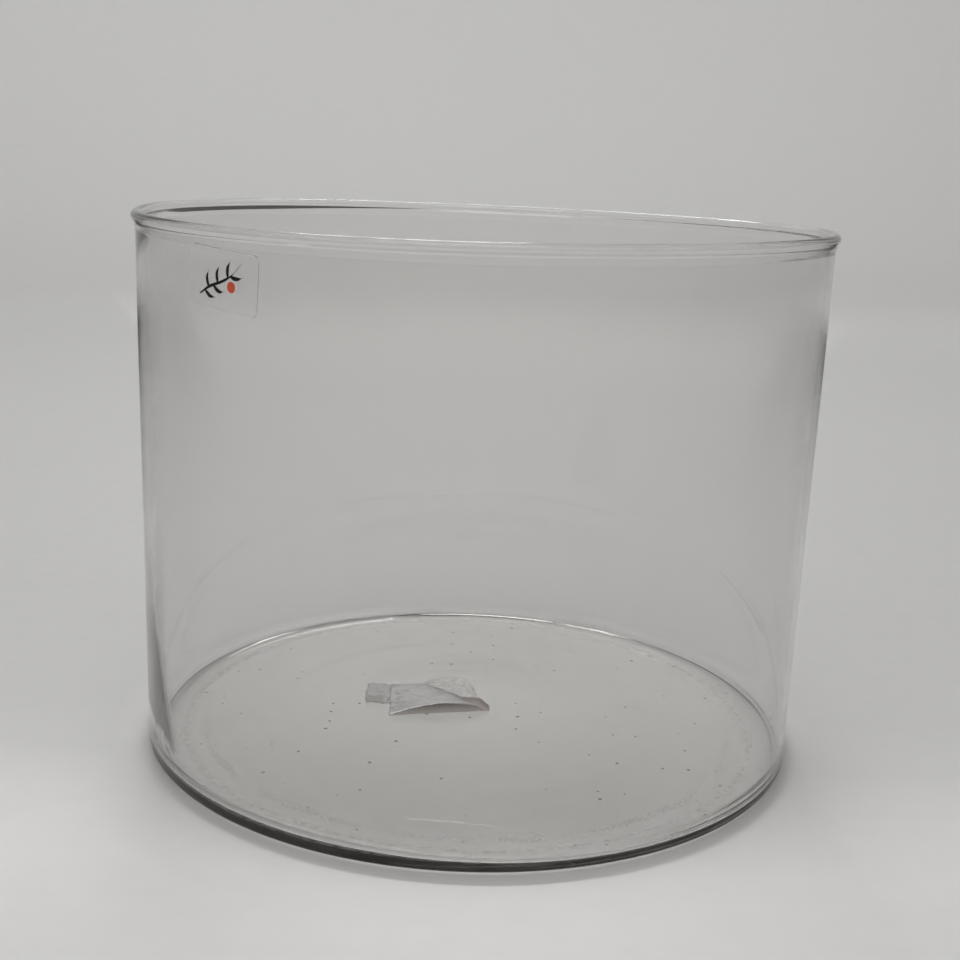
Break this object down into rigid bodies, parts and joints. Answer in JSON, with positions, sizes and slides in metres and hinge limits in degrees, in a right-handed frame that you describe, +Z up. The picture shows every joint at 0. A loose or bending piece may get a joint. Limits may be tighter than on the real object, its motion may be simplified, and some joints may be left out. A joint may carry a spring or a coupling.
{
  "type": "crystallizing dish",
  "caption": "Deep straight-walled round glass dish with a bead rim, small heel and shallow punt, a clear film label outside and a torn paper sticker on its floor inside.",
  "frame": {"origin": "on the dish's axis, at the level of the ring it stands on", "axes": "+Z up along the dish's axis to its open mouth; -Y is the front, with the film label on the front left towards -X"},
  "size_m": [0.2528, 0.2528, 0.197],
  "materials": {
    "clear_glass": "polished",
    "clear_film": "gloss",
    "black_ink": "satin",
    "red_ink": "satin",
    "paper": "matte",
    "aged_paper": "matte"
  },
  "bodies": {
    "root": {"glass_dish": "clear_glass", "clear_film_label": "clear_film", "label_print_sprig": "black_ink", "label_print_berry": "red_ink", "torn_sticker": "paper", "torn_sticker_left_scrap": "aged_paper", "torn_sticker_fibre_patch": "aged_paper"}
  },
  "joints": []
}
